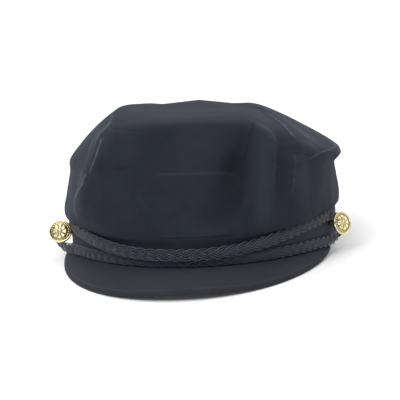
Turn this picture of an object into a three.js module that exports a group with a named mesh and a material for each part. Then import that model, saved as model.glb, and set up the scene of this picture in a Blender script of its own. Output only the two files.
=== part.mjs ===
import * as THREE from "three";

// A soft sailor cap: crown, head band, peak, two plaited braids and two buttons, in millimetres.
// The front of the cap looks towards -Y and +Z is up. It rests on the edge of its peak and on the
// back of its band. The origin lies on the resting surface, under the middle of the cap's box.
// Angles round the cap are counted in degrees from the front, growing towards +X.

// Head opening and band
const HEAD_WIDTH = 168;
const HEAD_LENGTH = 194;
const BAND_WALL = 2.4;
const BAND_HEIGHT = 28;

// Crown of single cloth, from its lower edge to its top
const CROWN_WALL = 1.6;
const CROWN_HEIGHT = 69;
const CROWN_OVERLAP = 5;

// Peak: how far it stands out, how far its edge lies below the band, the angle that it is centred
// on and how far it runs to each side of it. Its edge is bowed up in the middle.
const PEAK_REACH = 34.7;
const PEAK_THICKNESS = 3;
const PEAK_DROP = 13;
const PEAK_CENTRE = -8;
const PEAK_HALF_SPAN = 79;
const PEAK_TIP_REACH = 2.5;
const PEAK_FULLNESS = 0.63;
const PEAK_TIP_RISE = 2.4;
const PEAK_ARCH = 1.6;
const PEAK_BOW = 3.9;
const PEAK_BOW_CENTRE = 4;
const PEAK_BOW_WIDTH = 27;

// Plaited braids, which run from button to button. The upper one hangs in front of the lower one and
// climbs to the crown's lower edge, which it meets at an angle of its own. The lower one lies along
// the join of the peak, and from the share given its ends leave the band and droop under the buttons.
const BRAID_WIDTH = 7.4;
const BRAID_THICKNESS = 3.2;
const UPPER_SAG = 10.4;
const UPPER_CLIMB_ANGLE = 68;
const UPPER_CLIMB_POWER = 2.6;
const UPPER_END_SHARE = 0.94;
const LOWER_SCALE = 0.9;
const LOWER_LEAVE_SHARE = 0.72;
const LOWER_END_SHARE = 1.08;
const PLAIT_PITCH = 6.2;
const PLAIT_SCALLOP = 0.07;

// Buttons with a shank: where each is sewn on, how far its back stands off the band, and how far
// its face is turned to the front and lifted
const BUTTON_DIAMETER = 14.5;
const BUTTON_EDGE = 1.1;
const BUTTON_DOME = 2.2;
const BUTTON_RIM_WIDTH = 1.2;
const BUTTON_RELIEF = 0.5;
const BUTTON_PETALS = 8;
const BUTTON_ROWS = { boss: 0.16, petals: [0.32, 0.54, 0.76], back: 0.3 };
const SHANK_DIAMETER = 3.4;
const SHANK_ROWS = [0.12, 0.5, 1];
const BUTTON_STAND_OFF = 7.6;
const LEFT_BUTTON = { angle: -66, height: 12.5, turn: 72, lift: 16, braidOut: 10.5, braidDroop: 4.2 };
const RIGHT_BUTTON = { angle: 74, height: 12.8, turn: -28, lift: 16, braidOut: 3, braidDroop: 4 };

// Clearance between neighbours, and how far the cloth gives where the cap rests
const GAP = 0.3;
const REST_GIVE = 1.2;

// Fineness of the round surfaces
const CROWN_SIDES = 90;
const CROWN_ROWS = 18;
const INSIDE_ROWS = 10;
const BAND_SIDES = 72;
const PEAK_STATIONS = 40;
const PEAK_OVER_ROWS = [0, 0.25, 0.5, 0.75, 0.94];
const PEAK_UNDER_ROWS = [0, 0.25, 0.5, 0.75, 0.955, 0.99];
const BUTTON_SIDES = 24;
const BRAID_SIDES = 6;
const BRAID_POINTS = 41;
const STATIONS_A_PLAIT = 4;

const NAVY_CLOTH = 0x20242f;
const NAVY_CORD = 0x1d2230;
const GILT = 0xd8b25c;

// The crown's outline in twelve directions: the low bulge over the band, the middle of the side, the
// bend where the side turns in, and the rim of the top. The stand-outs are shares of the band's oval
// and the heights, in the columns that end in At, are shares of the crown's height.
const CROWN_OUTLINE = [
  { angle: 0, low: 1.05, lowAt: -0.07, mid: 1.01, bend: 0.96, bendAt: 0.76, rim: 0.86, rimAt: 0.89 },
  { angle: 30, low: 1.055, lowAt: -0.06, mid: 1.05, bend: 0.98, bendAt: 0.74, rim: 0.79, rimAt: 0.89 },
  { angle: 60, low: 1.045, lowAt: 0, mid: 1.05, bend: 1.03, bendAt: 0.58, rim: 0.6, rimAt: 0.88 },
  { angle: 90, low: 1.03, lowAt: 0.06, mid: 1.0, bend: 1.0, bendAt: 0.55, rim: 0.49, rimAt: 0.905 },
  { angle: 120, low: 1.03, lowAt: 0.08, mid: 1.02, bend: 1.0, bendAt: 0.52, rim: 0.54, rimAt: 0.875 },
  { angle: 150, low: 1.04, lowAt: 0.08, mid: 1.05, bend: 1.0, bendAt: 0.56, rim: 0.66, rimAt: 0.86 },
  { angle: 180, low: 1.04, lowAt: 0.08, mid: 1.04, bend: 0.98, bendAt: 0.58, rim: 0.7, rimAt: 0.85 },
  { angle: 210, low: 1.04, lowAt: 0.08, mid: 1.04, bend: 0.98, bendAt: 0.56, rim: 0.66, rimAt: 0.86 },
  { angle: 240, low: 1.04, lowAt: 0.08, mid: 1.01, bend: 0.96, bendAt: 0.54, rim: 0.56, rimAt: 0.9 },
  { angle: 270, low: 1.04, lowAt: 0.06, mid: 1.0, bend: 0.95, bendAt: 0.54, rim: 0.55, rimAt: 0.93 },
  { angle: 300, low: 1.045, lowAt: 0, mid: 1.0, bend: 0.96, bendAt: 0.6, rim: 0.66, rimAt: 0.93 },
  { angle: 330, low: 1.055, lowAt: -0.06, mid: 1.06, bend: 1.0, bendAt: 0.74, rim: 0.78, rimAt: 0.91 },
];
const MID_HEIGHT = 0.36;
const TOP_HEIGHT = 0.985;

// Folds of the crown. Each runs from one place to another, given as an angle round the cap and a
// level from 0 at the lower edge to 1 at the middle of the top. The half width is in degrees round
// the cap, and the rise is a share of the crown's height, below zero for a valley.
const FOLDS = [
  { from: [-44, 0.64], to: [-31, 0.5], halfWidth: 5, rise: 0.02 },
  { from: [-31, 0.5], to: [-45, 0.24], halfWidth: 5, rise: 0.03 },
  { from: [28, 0.5], to: [23, 0.38], halfWidth: 5, rise: -0.04 },
  { from: [22, 0.36], to: [17, 0.24], halfWidth: 7, rise: -0.06 },
  { from: [35, 0.52], to: [31, 0.2], halfWidth: 5, rise: 0.04 },
  { from: [43, 0.5], to: [39, 0.3], halfWidth: 4, rise: -0.03 },
  { from: [49, 0.42], to: [47, 0.26], halfWidth: 5, rise: 0.02 },
  { from: [66, 0.68], to: [53, 0.5], halfWidth: 5, rise: 0.025 },
  { from: [54, 0.47], to: [80, 0.5], halfWidth: 5, rise: 0.014 },
  { from: [-34, 0.3], to: [-22, 0.24], halfWidth: 6, rise: -0.025 },
  { from: [-6, 0.31], to: [8, 0.24], halfWidth: 5, rise: -0.025 },
];

// Around the edges of the folds' field they fade out, counted in levels
const FOLDS_START = { from: 0.1, to: 0.3 };
const FOLDS_END = { from: 0.62, to: 0.8 };

const CROWN_HEM_HEIGHT = BAND_HEIGHT - CROWN_OVERLAP;
const TURN = Math.PI / 180;

// A point on an oval that lies the given distance outside the head opening
function oval(angle, out, height) {
  const a = angle * TURN;
  return new THREE.Vector3(
    (HEAD_WIDTH / 2 + out) * Math.sin(a),
    -(HEAD_LENGTH / 2 + out) * Math.cos(a),
    height,
  );
}

// The level direction straight out of the band
function outward(angle) {
  const a = angle * TURN;
  return new THREE.Vector3(Math.sin(a) / HEAD_WIDTH, -Math.cos(a) / HEAD_LENGTH, 0).normalize();
}

// The front is raised until the peak's edge and the back of the band lie on one surface
const REST_LENGTH = HEAD_LENGTH + 2 * BAND_WALL + PEAK_REACH;
const PITCH = Math.atan(PEAK_DROP / REST_LENGTH);

// How high the resting surface lies at a place along the cap, in the band's own frame
function surfaceHeight(y) {
  return (y - HEAD_LENGTH / 2 - BAND_WALL) * Math.tan(PITCH);
}

// Cloth that would sink into the resting surface lies flat on it
function settle(point) {
  const lowest = surfaceHeight(point.y) + REST_GIVE;
  return new THREE.Vector3(point.x, point.y, Math.max(point.z, lowest));
}

// A smooth curve through evenly spaced values, at a place counted in steps
function smooth(before, start, end, after, t) {
  const bend = 2 * before - 5 * start + 4 * end - after;
  const twist = 3 * (start - end) + after - before;
  return start + 0.5 * t * (end - before + t * (bend + t * twist));
}

function along(values, place) {
  const step = Math.min(Math.floor(place), values.length - 2);
  const at = (i) => values[Math.min(Math.max(i, 0), values.length - 1)];
  return smooth(at(step - 1), at(step), at(step + 1), at(step + 2), place - step);
}

function around(column, angle) {
  const count = CROWN_OUTLINE.length;
  const place = (angle / 360) * count;
  const step = Math.floor(place);
  const at = (i) => CROWN_OUTLINE[((i % count) + count) % count][column];
  return smooth(at(step - 1), at(step), at(step + 1), at(step + 2), place - step);
}

// The crown's outer surface without its folds
function crownForm(angle, level) {
  const edge = oval(angle, BAND_WALL, 0).length();
  const hem = 1 + (GAP + CROWN_WALL) / edge;
  const rim = around("rim", angle);
  const rimHeight = around("rimAt", angle);
  const shares = [
    hem,
    around("low", angle),
    around("mid", angle),
    around("bend", angle),
    rim,
    rim / 2,
    0,
  ];
  const heights = [
    0,
    around("lowAt", angle),
    MID_HEIGHT,
    around("bendAt", angle),
    rimHeight,
    (rimHeight + TOP_HEIGHT) / 2,
    TOP_HEIGHT,
  ];
  const place = level * (shares.length - 1);
  const point = oval(angle, BAND_WALL, 0).multiplyScalar(along(shares, place));
  point.z = CROWN_HEM_HEIGHT + CROWN_HEIGHT * along(heights, place);
  return point;
}

const LEVEL_STEP = 0.01;
const ANGLE_STEP = 1;

function crownNormal(angle, level) {
  if (level >= 1 - LEVEL_STEP) return new THREE.Vector3(0, 0, 1);
  const across = crownForm(angle + ANGLE_STEP, level).sub(crownForm(angle - ANGLE_STEP, level));
  const up = crownForm(angle, level + LEVEL_STEP).sub(crownForm(angle, level));
  return across.cross(up).normalize();
}

// How far the folds lift the cloth at a place. A degree and a level are made alike by the reach of
// a level in degrees round the cap.
const LEVEL_IN_DEGREES = 110;

function foldRise(angle, level) {
  const turned = ((angle + 540) % 360) - 180;
  let rise = 0;
  for (const fold of FOLDS) {
    const start = new THREE.Vector2(fold.from[0], fold.from[1] * LEVEL_IN_DEGREES);
    const run = new THREE.Vector2(fold.to[0], fold.to[1] * LEVEL_IN_DEGREES).sub(start);
    const here = new THREE.Vector2(turned, level * LEVEL_IN_DEGREES).sub(start);
    const share = THREE.MathUtils.clamp(here.dot(run) / run.lengthSq(), 0, 1);
    const away = here.sub(run.multiplyScalar(share)).length() / fold.halfWidth;
    rise += fold.rise * Math.exp(-away * away);
  }
  return CROWN_HEIGHT * rise;
}

function crownPoint(angle, level, depth) {
  const start = THREE.MathUtils.smoothstep(level, FOLDS_START.from, FOLDS_START.to);
  const end = 1 - THREE.MathUtils.smoothstep(level, FOLDS_END.from, FOLDS_END.to);
  const lift = foldRise(angle, level) * start * end;
  return crownForm(angle, level).addScaledVector(crownNormal(angle, level), lift - depth);
}

// Joins rings of points into one closed skin. A ring of one point is a pole, and a looped skin goes
// from its last ring back to its first.
function skin(rings, looped) {
  const corners = [];
  const starts = rings.map((ring) => {
    const start = corners.length;
    corners.push(...ring);
    return start;
  });
  const faces = [];
  const count = looped ? rings.length : rings.length - 1;
  for (let r = 0; r < count; r++) {
    const next = (r + 1) % rings.length;
    const sides = Math.max(rings[r].length, rings[next].length);
    for (let s = 0; s < sides; s++) {
      const here = (ring, side) => starts[ring] + (rings[ring].length === 1 ? 0 : side % sides);
      if (rings[r].length > 1) faces.push([here(r, s), here(r, s + 1), here(next, s)]);
      if (rings[next].length > 1) faces.push([here(r, s + 1), here(next, s + 1), here(next, s)]);
    }
  }
  return facingOut(corners, faces);
}

// A geometry of these faces, turned so that they all look out of the body
function facingOut(corners, faces) {
  let volume = 0;
  for (const [a, b, c] of faces) {
    volume += corners[a].dot(new THREE.Vector3().crossVectors(corners[b], corners[c]));
  }
  const turned = volume < 0 ? faces.map(([a, b, c]) => [a, c, b]) : faces;
  const geometry = new THREE.BufferGeometry();
  geometry.setAttribute(
    "position",
    new THREE.Float32BufferAttribute(corners.flatMap((p) => p.toArray()), 3),
  );
  geometry.setIndex(turned.flat());
  geometry.computeVertexNormals();
  return geometry;
}

function steps(count, from, to) {
  return Array.from({ length: count }, (_, i) => from + ((to - from) * i) / (count - 1));
}

function roundAngles(count) {
  return Array.from({ length: count }, (_, i) => (360 * i) / count);
}

function cloth(color) {
  return new THREE.MeshStandardMaterial({ color, roughness: 0.9, metalness: 0 });
}

// Crown
function makeCrown() {
  const angles = roundAngles(CROWN_SIDES);
  const outside = steps(CROWN_ROWS, 0, 1).slice(0, -1);
  const inside = steps(INSIDE_ROWS, 0, 1).slice(0, -1);
  const hem = angles.map((angle) => oval(angle, BAND_WALL + GAP, CROWN_HEM_HEIGHT));
  const rings = [
    [crownPoint(0, 1, 0)],
    ...outside.map((level) => angles.map((angle) => crownPoint(angle, level, 0))).reverse(),
    hem,
    ...inside.slice(1).map((level) => angles.map((angle) => crownPoint(angle, level, CROWN_WALL))),
    [crownPoint(0, 1, CROWN_WALL)],
  ];
  return new THREE.Mesh(skin(rings, false), cloth(NAVY_CLOTH));
}

// Band, with softly rounded upper and lower edges
function makeBand() {
  const round = BAND_WALL / 4;
  const section = [
    [0, round],
    [round, 0],
    [BAND_WALL - round, 0],
    [BAND_WALL, round],
    [BAND_WALL, BAND_HEIGHT - round],
    [BAND_WALL / 2, BAND_HEIGHT],
    [0, BAND_HEIGHT - round],
  ];
  const rings = roundAngles(BAND_SIDES).map((angle) =>
    section.map(([out, height]) => settle(oval(angle, out, height))),
  );
  return new THREE.Mesh(skin(rings, true), cloth(NAVY_CLOTH));
}

// How much of its full reach the peak has at an angle
function peakShare(angle) {
  const end = Math.cos(PEAK_HALF_SPAN * TURN);
  const here = Math.cos((angle - PEAK_CENTRE) * TURN);
  return Math.max(0, (here - end) / (1 - end)) ** PEAK_FULLNESS;
}

// The underside of the peak's edge
function peakEdge(angle) {
  const share = peakShare(angle);
  const point = oval(angle, BAND_WALL, 0);
  point.addScaledVector(outward(angle), PEAK_TIP_REACH * (1 - share));
  point.y -= PEAK_REACH * share;
  const bow = PEAK_BOW * Math.exp(-(((angle - PEAK_BOW_CENTRE) / PEAK_BOW_WIDTH) ** 2));
  point.z = surfaceHeight(point.y) + bow + PEAK_TIP_RISE * (1 - share) ** 2;
  return point;
}

// Peak, as sections from the band out to the edge
function makePeak() {
  const half = PEAK_THICKNESS / 2;
  const rings = steps(PEAK_STATIONS, -PEAK_HALF_SPAN, PEAK_HALF_SPAN).map((turn) => {
    const angle = PEAK_CENTRE + turn;
    const join = oval(angle, BAND_WALL + GAP, GAP);
    const edge = peakEdge(angle);
    const share = peakShare(angle);
    const top = (row) => {
      const point = join.clone().lerp(edge, row);
      point.z += PEAK_ARCH * share * 4 * row * (1 - row) + PEAK_THICKNESS * row;
      return point;
    };
    const over = PEAK_OVER_ROWS.map(top);
    const rim = edge.clone();
    rim.z += half;
    const under = PEAK_UNDER_ROWS.map((row) => {
      const point = top(row);
      point.z -= PEAK_THICKNESS;
      return settle(point);
    });
    return [...over, settle(rim), ...under.reverse()];
  });
  const first = middle(rings[0]);
  const last = middle(rings[rings.length - 1]);
  return new THREE.Mesh(skin([[first], ...rings, [last]], false), cloth(NAVY_CLOTH));
}

function middle(points) {
  const sum = new THREE.Vector3();
  points.forEach((point) => sum.add(point));
  return sum.divideScalar(points.length);
}

// The button that a braid's share of its way leads to: 1 is at the right one, -1 at the left one
function ownButton(share) {
  return share < 0 ? LEFT_BUTTON : RIGHT_BUTTON;
}

function upperBraid(share) {
  const turn = Math.abs(share);
  const angle = turn * ownButton(share).angle;
  const climb = Math.sin(Math.min(1, Math.abs(angle) / UPPER_CLIMB_ANGLE) * 90 * TURN);
  const drop = UPPER_SAG * (1 - climb ** UPPER_CLIMB_POWER);
  const top = CROWN_HEM_HEIGHT - GAP - (BRAID_WIDTH / 2) * (1 + PLAIT_SCALLOP);
  const inFront = (LOWER_SCALE * BRAID_THICKNESS + GAP) * (1 - climb ** 2);
  return oval(angle, BAND_WALL + GAP + BRAID_THICKNESS / 2 + inFront, top - drop);
}

function lowerBraid(share) {
  const turn = Math.abs(share);
  const button = ownButton(share);
  const leave = Math.max(0, (turn - LOWER_LEAVE_SHARE) / (LOWER_END_SHARE - LOWER_LEAVE_SHARE)) ** 2;
  const foot = 2 * GAP + (LOWER_SCALE * BRAID_WIDTH * (1 + PLAIT_SCALLOP)) / 2;
  const out = BAND_WALL + GAP + (LOWER_SCALE * BRAID_THICKNESS) / 2 + button.braidOut * leave;
  return oval(turn * button.angle, out, foot - button.braidDroop * leave);
}

// Braid, with the scalloped edges of its plaits
function makeBraid(place, endShare, scale) {
  const shares = steps(BRAID_POINTS, -endShare, endShare);
  const line = new THREE.CatmullRomCurve3(shares.map(place));
  const count = Math.round((line.getLength() / PLAIT_PITCH) * STATIONS_A_PLAIT);
  const middles = line.getSpacedPoints(count);
  const rings = middles.map((point, i) => {
    const ahead = middles[Math.min(i + 1, count)].clone().sub(middles[Math.max(i - 1, 0)]).normalize();
    const out = new THREE.Vector3(point.x / HEAD_WIDTH ** 2, point.y / HEAD_LENGTH ** 2, 0);
    out.addScaledVector(ahead, -out.dot(ahead)).normalize();
    const across = new THREE.Vector3().crossVectors(ahead, out);
    return roundAngles(BRAID_SIDES).map((turn) => {
      const side = Math.cos(turn * TURN);
      const face = Math.sin(turn * TURN);
      const plait = (2 * Math.PI * i) / STATIONS_A_PLAIT;
      const scallop = 1 + PLAIT_SCALLOP * Math.cos(plait + (side > 0 ? Math.PI : 0));
      return point
        .clone()
        .addScaledVector(across, ((scale * BRAID_WIDTH) / 2) * side * scallop)
        .addScaledVector(out, ((scale * BRAID_THICKNESS) / 2) * face);
    });
  });
  return new THREE.Mesh(skin([[middles[0]], ...rings, [middles[count]]], false), cloth(NAVY_CORD));
}

// Button: a dome in a raised rim with a rosette on it, and a shank that bends down to the band
function makeButton(place) {
  const radius = BUTTON_DIAMETER / 2;
  const face = radius - BUTTON_RIM_WIDTH;
  const seat = oval(place.angle, BAND_WALL, place.height);
  const out = outward(place.angle);
  const look = out.clone().applyAxisAngle(new THREE.Vector3(0, 0, 1), place.turn * TURN);
  look.z = Math.tan(place.lift * TURN);
  look.normalize();
  const button = new THREE.Mesh();
  button.position.copy(seat).addScaledVector(out, BUTTON_STAND_OFF);
  button.quaternion.setFromUnitVectors(new THREE.Vector3(0, 0, 1), look);

  const back = button.quaternion.clone().invert();
  const foot = seat.clone().addScaledVector(out, GAP).sub(button.position).applyQuaternion(back);
  const down = out.clone().applyQuaternion(back);
  const turns = roundAngles(BUTTON_SIDES);
  const ring = (r, height) =>
    turns.map((t) => new THREE.Vector3(r * Math.cos(t * TURN), r * Math.sin(t * TURN), height));
  const dome = (r) => BUTTON_EDGE + BUTTON_DOME * (1 - (r / radius) ** 2);
  const rosette = (r) =>
    ring(r, dome(r)).map((p, i) => {
      const petal = Math.cos(BUTTON_PETALS * turns[i] * TURN) * Math.sin((Math.PI * r) / face);
      p.z += BUTTON_RELIEF * petal;
      return p;
    });
  const shank = SHANK_ROWS.map((share) => {
    const axis = new THREE.Vector3(0, 0, 1).lerp(down, share).normalize();
    const tilt = new THREE.Quaternion().setFromUnitVectors(new THREE.Vector3(0, 0, 1), axis);
    const centre = foot.clone().multiplyScalar(share);
    return ring(SHANK_DIAMETER / 2, 0).map((p) => p.applyQuaternion(tilt).add(centre));
  });
  const rings = [
    [new THREE.Vector3(0, 0, dome(0) + BUTTON_RELIEF)],
    ring(BUTTON_ROWS.boss * face, dome(0) + BUTTON_RELIEF / 2),
    ...BUTTON_ROWS.petals.map((share) => rosette(share * face)),
    ring(face, dome(face)),
    ring(face + BUTTON_RIM_WIDTH / 2, dome(face) + BUTTON_RELIEF),
    ring(radius, BUTTON_EDGE),
    ring(radius, BUTTON_ROWS.back * BUTTON_EDGE),
    ring(radius - BUTTON_RIM_WIDTH / 2, 0),
    ...shank,
    [foot],
  ];
  button.geometry = skin(rings, false);
  button.material = new THREE.MeshStandardMaterial({ color: GILT, roughness: 0.3, metalness: 1 });
  return button;
}

// The whole cap, tipped back as it rests, with its lowest points on the surface
const pieces = {
  crown: makeCrown(),
  band: makeBand(),
  peak: makePeak(),
  braid_upper: makeBraid(upperBraid, UPPER_END_SHARE, 1),
  braid_lower: makeBraid(lowerBraid, LOWER_END_SHARE, LOWER_SCALE),
  button_left: makeButton(LEFT_BUTTON),
  button_right: makeButton(RIGHT_BUTTON),
};
const tipped = new THREE.Group();
for (const [name, mesh] of Object.entries(pieces)) {
  mesh.name = name;
  tipped.add(mesh);
}
tipped.rotation.x = -PITCH;
tipped.position.z = (HEAD_LENGTH / 2 + BAND_WALL) * Math.sin(PITCH) - REST_GIVE * Math.cos(PITCH);

const cap = new THREE.Group();
cap.add(tipped);
cap.updateMatrixWorld(true);
const centre = new THREE.Box3().setFromObject(cap, true).getCenter(new THREE.Vector3());
tipped.position.x -= centre.x;
tipped.position.y -= centre.y;

export default cap;
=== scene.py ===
import math

import bmesh
import bpy
import numpy as np
from mathutils import Matrix, Vector


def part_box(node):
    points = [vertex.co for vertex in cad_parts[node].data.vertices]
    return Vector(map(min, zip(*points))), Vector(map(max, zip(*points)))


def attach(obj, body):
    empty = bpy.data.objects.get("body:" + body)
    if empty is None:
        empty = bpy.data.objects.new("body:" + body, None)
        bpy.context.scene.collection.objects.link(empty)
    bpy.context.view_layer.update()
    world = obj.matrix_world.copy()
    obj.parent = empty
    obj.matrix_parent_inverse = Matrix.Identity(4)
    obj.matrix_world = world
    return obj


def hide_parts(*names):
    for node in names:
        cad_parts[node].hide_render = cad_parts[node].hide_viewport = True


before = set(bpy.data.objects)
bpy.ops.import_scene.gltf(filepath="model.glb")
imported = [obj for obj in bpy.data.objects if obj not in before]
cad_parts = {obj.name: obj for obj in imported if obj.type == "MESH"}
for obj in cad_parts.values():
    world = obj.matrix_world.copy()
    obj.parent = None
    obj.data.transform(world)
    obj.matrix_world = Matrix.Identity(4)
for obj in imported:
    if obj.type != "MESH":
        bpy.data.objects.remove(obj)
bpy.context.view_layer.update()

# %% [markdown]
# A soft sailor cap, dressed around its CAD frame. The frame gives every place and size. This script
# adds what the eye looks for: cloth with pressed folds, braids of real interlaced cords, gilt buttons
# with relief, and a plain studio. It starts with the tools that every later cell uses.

# %% [markdown]
# The cap was drawn level in its own frame, in millimetres, and then tipped back until it rested on the
# edge of its peak and the back of its band. Working in that same level frame keeps the formulas
# simple: angles run round the head opening from the front, and one function tips the result into
# place. The sizes below are those of the CAD model, so cloth made here lies on its solids.

# %% Sizes of the cap in millimetres
HEAD_WIDTH = 168
HEAD_LENGTH = 194
BAND_WALL = 2.4
BAND_HEIGHT = 28
CROWN_WALL = 1.6
CROWN_HEIGHT = 69
HEM_HEIGHT = 23
PEAK_REACH = 34.7
PEAK_THICKNESS = 3
PEAK_DROP = 13
GAP = 0.3
REST_GIVE = 1.2
MM = 0.001

PITCH = math.atan(PEAK_DROP / (HEAD_LENGTH + 2 * BAND_WALL + PEAK_REACH))
band_low, band_high = (np.array(corner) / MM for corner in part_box("band"))
back_rim = np.array([HEAD_LENGTH / 2 + BAND_WALL, BAND_HEIGHT - BAND_WALL / 4])
ORIGIN = np.array([
    (band_low[0] + band_high[0]) / 2,
    band_high[1] - back_rim[0] * math.cos(PITCH) - back_rim[1] * math.sin(PITCH),
    (HEAD_LENGTH / 2 + BAND_WALL) * math.sin(PITCH) - REST_GIVE * math.cos(PITCH),
])


def place(points):
    """Tips points of the level frame, in millimetres, into the object's frame, in metres."""
    x, y, z = np.asarray(points, float).T
    c, s = math.cos(PITCH), math.sin(PITCH)
    return (np.stack([x, y * c + z * s, z * c - y * s], -1) + ORIGIN) * MM


def oval(angle, out, height):
    """Points on an oval that lies the given distance outside the head opening."""
    a = np.radians(angle)
    x = (HEAD_WIDTH / 2 + out) * np.sin(a)
    y = -(HEAD_LENGTH / 2 + out) * np.cos(a)
    return np.stack(np.broadcast_arrays(x, y, height), -1).astype(float)


def outward(angle):
    a = np.radians(angle)
    v = np.stack(np.broadcast_arrays(np.sin(a) / HEAD_WIDTH, -np.cos(a) / HEAD_LENGTH, 0.0), -1)
    return v / np.linalg.norm(v, axis=-1, keepdims=True)


def surface_height(y):
    """How high the resting surface lies in the level frame."""
    return (y - HEAD_LENGTH / 2 - BAND_WALL) * math.tan(PITCH)


def smoothstep(value, low, high):
    t = np.clip((value - low) / (high - low), 0, 1)
    return t * t * (3 - 2 * t)


print("pitch", round(math.degrees(PITCH), 2), "origin", ORIGIN.round(2))

# %% [markdown]
# A mesh is a list of points and a list of faces. Every cloth piece here is a stack of rings, each with
# the same number of points, joined row by row. A ring of one point closes the stack as a pole. One
# helper builds such a skin, turns it to face outwards and stores numbers on its points, which the
# materials read later.

# %% A skin over rings of points
def skin(name, rings, material, masks=None, looped=False):
    rings = [np.atleast_2d(ring) for ring in rings]
    starts = np.cumsum([0] + [len(ring) for ring in rings])
    faces = []
    pairs = list(zip(range(len(rings)), range(1, len(rings))))
    if looped:
        pairs.append((len(rings) - 1, 0))
    for r, n in pairs:
        count = max(len(rings[r]), len(rings[n]))
        side = np.arange(count)
        here = starts[r] + (side if len(rings[r]) > 1 else 0 * side)
        after = starts[r] + ((side + 1) % count if len(rings[r]) > 1 else 0 * side)
        below = starts[n] + (side if len(rings[n]) > 1 else 0 * side)
        beyond = starts[n] + ((side + 1) % count if len(rings[n]) > 1 else 0 * side)
        quads = np.stack([here, after, beyond, below], -1)
        faces += [tuple(dict.fromkeys(quad)) for quad in quads.tolist()]
    points = place(np.concatenate(rings))
    return make_mesh(name, points, faces, material, masks)


def make_mesh(name, points, faces, material, masks=None):
    first = np.array([[f[0], f[1], f[2]] for f in faces])
    a, b, c = points[first[:, 0]], points[first[:, 1]], points[first[:, 2]]
    if np.einsum("ij,ij->i", a, np.cross(b, c)).sum() < 0:
        faces = [face[::-1] for face in faces]
    mesh = bpy.data.meshes.new(name)
    mesh.from_pydata(points.tolist(), [], faces)
    mesh.validate()
    mesh.shade_smooth()
    for mask, values in (masks or {}).items():
        layer = mesh.attributes.new(mask, "FLOAT", "POINT")
        layer.data.foreach_set("value", np.asarray(values, np.float32).ravel())
    mesh.materials.append(material)
    piece = bpy.data.objects.new(name, mesh)
    bpy.context.scene.collection.objects.link(piece)
    print(name, "points", len(points), "faces", len(faces))
    return piece


# %% [markdown]
# The cloth is brushed cotton: a short nap that lies in patches, catches light at grazing angles and
# hides the weave. Its effects are the same on crown, band and peak, so they are one shader group with
# named inputs. It puts out a tone and a height, and each material decides what to do with them.

# %% The nap of brushed cloth as a shader group
def feed(tree, socket, value):
    """Sets an input, or links it where the value is another node's output."""
    if isinstance(value, bpy.types.NodeSocket):
        tree.links.new(value, socket)
    elif value is not None:
        socket.default_value = value


def add_node(tree, kind, inputs=None, **settings):
    """A new node with its settings, and a value or a link for each input named."""
    item = tree.nodes.new(kind)
    for key, value in settings.items():
        setattr(item, key, value)
    for key, value in (inputs or {}).items():
        feed(tree, item.inputs[key], value)
    return item


def maths(tree, operation, *values):
    return add_node(tree, "ShaderNodeMath", dict(enumerate(values)), operation=operation).outputs[0]


def new_material(name, values):
    """A material whose Principled shader has these values."""
    material = bpy.data.materials.new(name)
    material.use_nodes = True
    shader = material.node_tree.nodes["Principled BSDF"]
    for socket, value in values.items():
        shader.inputs[socket].default_value = value
    return material, material.node_tree, shader


def nap_group():
    tree = bpy.data.node_groups.new("brushed nap", "ShaderNodeTree")
    for socket, kind in (("Position", "Vector"), ("Fibre scale", "Float"), ("Patch scale", "Float")):
        tree.interface.new_socket(name=socket, in_out="INPUT", socket_type=f"NodeSocket{kind}")
    for socket in ("Tone", "Height"):
        tree.interface.new_socket(name=socket, in_out="OUTPUT", socket_type="NodeSocketFloat")
    start = add_node(tree, "NodeGroupInput").outputs
    noises = []
    for scale, detail, roughness, distortion in (("Fibre scale", 3, 0.65, 0), ("Patch scale", 4, 0.55, 0.4)):
        noises.append(add_node(tree, "ShaderNodeTexNoise", {
            "Vector": start["Position"], "Scale": start[scale], "Detail": detail,
            "Roughness": roughness, "Distortion": distortion}).outputs["Fac"])
    fibre, patch = noises
    tone = maths(tree, "MULTIPLY_ADD", fibre, 0.35, maths(tree, "MULTIPLY", patch, 0.65))
    add_node(tree, "NodeGroupOutput", {"Tone": tone, "Height": fibre})
    return tree


NAP = nap_group()


def nap_at(tree, fibre, patch):
    """The nap's outputs in a material, at these two scales."""
    where = add_node(tree, "ShaderNodeTexCoord").outputs["Object"]
    return add_node(tree, "ShaderNodeGroup", {
        "Position": where, "Fibre scale": fibre, "Patch scale": patch}, node_tree=NAP).outputs


def attribute(tree, name):
    return add_node(tree, "ShaderNodeAttribute", attribute_name=name).outputs["Fac"]


def mixed(tree, factor, first, second):
    return add_node(tree, "ShaderNodeMix", {"Factor": factor, "A": first, "B": second},
                    data_type="RGBA").outputs["Result"]


def ramp(tree, value, *stops):
    item = add_node(tree, "ShaderNodeValToRGB", {"Fac": value})
    for element, (position, colour) in zip(item.color_ramp.elements, stops):
        element.position = position
        element.color = (*colour, 1)
    return item.outputs["Color"]


# %% [markdown]
# A cloth material mixes a deep and a worn navy by the nap's tone. Where a fold has been pressed, its
# crest is painted paler, partly as rubbed pile and partly as a painted highlight, and its groove is
# painted darker as shade. Those places come from two masks on the mesh. The soft shine is the shader's own
# sheen.

# %% Cloth materials
# Painted colours for the masks: a near-black navy for painted shade, and a pale navy for crests, partly
# rubbed pile and partly painted highlight.
PAINTED_SHADE_NAVY = (0.006, 0.007, 0.010)
RUBBED_AND_HIGHLIGHT_NAVY = (0.16, 0.18, 0.215)


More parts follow.
